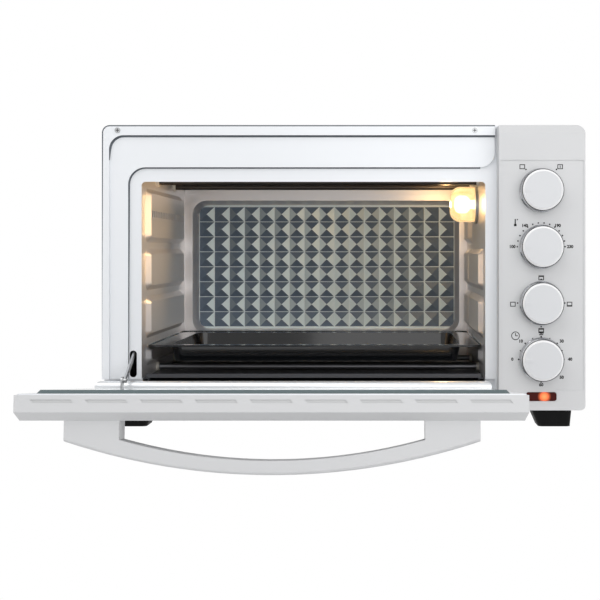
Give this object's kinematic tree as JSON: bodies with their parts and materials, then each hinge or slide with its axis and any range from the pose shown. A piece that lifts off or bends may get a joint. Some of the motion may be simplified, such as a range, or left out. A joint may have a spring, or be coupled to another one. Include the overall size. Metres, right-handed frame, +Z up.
{
  "type": "mini oven",
  "caption": "Countertop mini oven with an open drop-down door, bowed handle, side controls, lit cavity with a pyramid-pressed back, tube heaters and a baking tray.",
  "frame": {"origin": "centre of the bounding box at the underside of the feet, with the door open", "axes": "+X to the right as seen from the front, +Y into the oven, +Z up"},
  "size_m": [0.502, 0.6156, 0.316],
  "materials": {
    "cover_steel": "satin",
    "frame_steel": "satin",
    "panel_plastic": "satin",
    "knob_plastic": "satin",
    "bright_chrome": "polished",
    "cavity_steel": "satin",
    "pyramid_steel": "satin",
    "heater_tube": "matte",
    "ceramic_white": "matte",
    "lamp_glass": "clear",
    "bulb_glow": "frosted",
    "lens_red": "glossy",
    "neon_glow": "clear",
    "zinc_steel": "satin",
    "dark_plastic": "matte",
    "foot_rubber": "matte",
    "black_enamel": "glossy",
    "crumb_metal": "satin",
    "window_glass": "clear",
    "inner_glass": "clear",
    "rail_metal": "polished"
  },
  "bodies": {
    "cabinet": {"outer_cover": "cover_steel", "rear_panel": "zinc_steel", "base_panel": "zinc_steel", "front_frame": "frame_steel", "control_fascia": "panel_plastic", "indicator_lens": "lens_red", "indicator_neon": "neon_glow", "cavity_left_wall": "cavity_steel", "cavity_right_wall": "cavity_steel", "cavity_roof": "cavity_steel", "cavity_floor": "cavity_steel", "cavity_back": "cavity_steel", "diamond_plate": "pyramid_steel", "upper_front_heater": "heater_tube", "upper_rear_heater": "heater_tube", "lower_front_heater": "heater_tube", "lower_rear_heater": "heater_tube", "heater_insulators": "ceramic_white", "lamp_glass": "lamp_glass", "lamp_bulb": "bulb_glow", "lamp_holder": "zinc_steel", "heat_shield": "zinc_steel", "control_plate": "zinc_steel", "front_left_foot": "foot_rubber", "front_right_foot": "foot_rubber", "rear_left_foot": "foot_rubber", "rear_right_foot": "foot_rubber", "frame_screws": "zinc_steel", "cover_screws": "zinc_steel", "left_hinge_bracket": "zinc_steel", "right_hinge_bracket": "zinc_steel", "cord_inlet": "dark_plastic", "mode_switch": "dark_plastic", "thermostat": "dark_plastic", "heat_switch": "dark_plastic", "timer": "dark_plastic"},
    "door": {"door_casing": "panel_plastic", "door_window": "window_glass", "door_inner_panel": "frame_steel", "door_inner_glass": "inner_glass", "door_bottom_rail": "rail_metal", "door_handle": "panel_plastic", "handle_screws": "zinc_steel", "hinge_pins": "zinc_steel", "link_ear": "zinc_steel"},
    "stay_link": {"stay_link": "zinc_steel"},
    "baking_tray": {"baking_tray": "black_enamel"},
    "crumb_tray": {"crumb_tray": "crumb_metal"},
    "mode_switch_knob": {"mode_switch_knob": "knob_plastic", "mode_switch_knob_ring": "bright_chrome", "mode_switch_spindle": "zinc_steel"},
    "thermostat_knob": {"thermostat_knob": "knob_plastic", "thermostat_knob_ring": "bright_chrome", "thermostat_spindle": "zinc_steel"},
    "heat_switch_knob": {"heat_switch_knob": "knob_plastic", "heat_switch_knob_ring": "bright_chrome", "heat_switch_spindle": "zinc_steel"},
    "timer_knob": {"timer_knob": "knob_plastic", "timer_knob_ring": "bright_chrome", "timer_spindle": "zinc_steel"}
  },
  "joints": [
    {"name": "door_hinge", "type": "hinge", "parent": "cabinet", "child": "door", "pos_m": [-0.04525, -0.02488, 0.031], "axis": [-1, 0, 0], "range_deg": [0, 84]},
    {"name": "stay_link_pivot", "type": "hinge", "parent": "door", "child": "stay_link", "pos_m": [-0.2172, -0.05223, 0.05398], "axis": [1, 0, 0], "range_deg": [0, 66]},
    {"name": "baking_tray_slide", "type": "slide", "parent": "cabinet", "child": "baking_tray", "axis": [0, 1, 0], "range_m": [-0.2, 0]},
    {"name": "crumb_tray_slide", "type": "slide", "parent": "cabinet", "child": "crumb_tray", "axis": [0, 1, 0], "range_m": [-0.06, 0]},
    {"name": "mode_switch_turn", "type": "hinge", "parent": "cabinet", "child": "mode_switch_knob", "pos_m": [0.2058, -0.04418, 0.24685], "axis": [0, 1, 0], "range_deg": [0, 135]},
    {"name": "thermostat_turn", "type": "hinge", "parent": "cabinet", "child": "thermostat_knob", "pos_m": [0.2058, -0.04418, 0.1892], "axis": [0, 1, 0], "range_deg": [0, 180]},
    {"name": "heat_switch_turn", "type": "hinge", "parent": "cabinet", "child": "heat_switch_knob", "pos_m": [0.2058, -0.04418, 0.13155], "axis": [0, 1, 0], "range_deg": [0, 270]},
    {"name": "timer_turn", "type": "hinge", "parent": "cabinet", "child": "timer_knob", "pos_m": [0.2058, -0.04418, 0.0739], "axis": [0, 1, 0], "range_deg": [0, 270]}
  ],
  "couplings": [
    {"joint": "stay_link_pivot", "follows": "door_hinge", "ratio": 0.785}
  ]
}
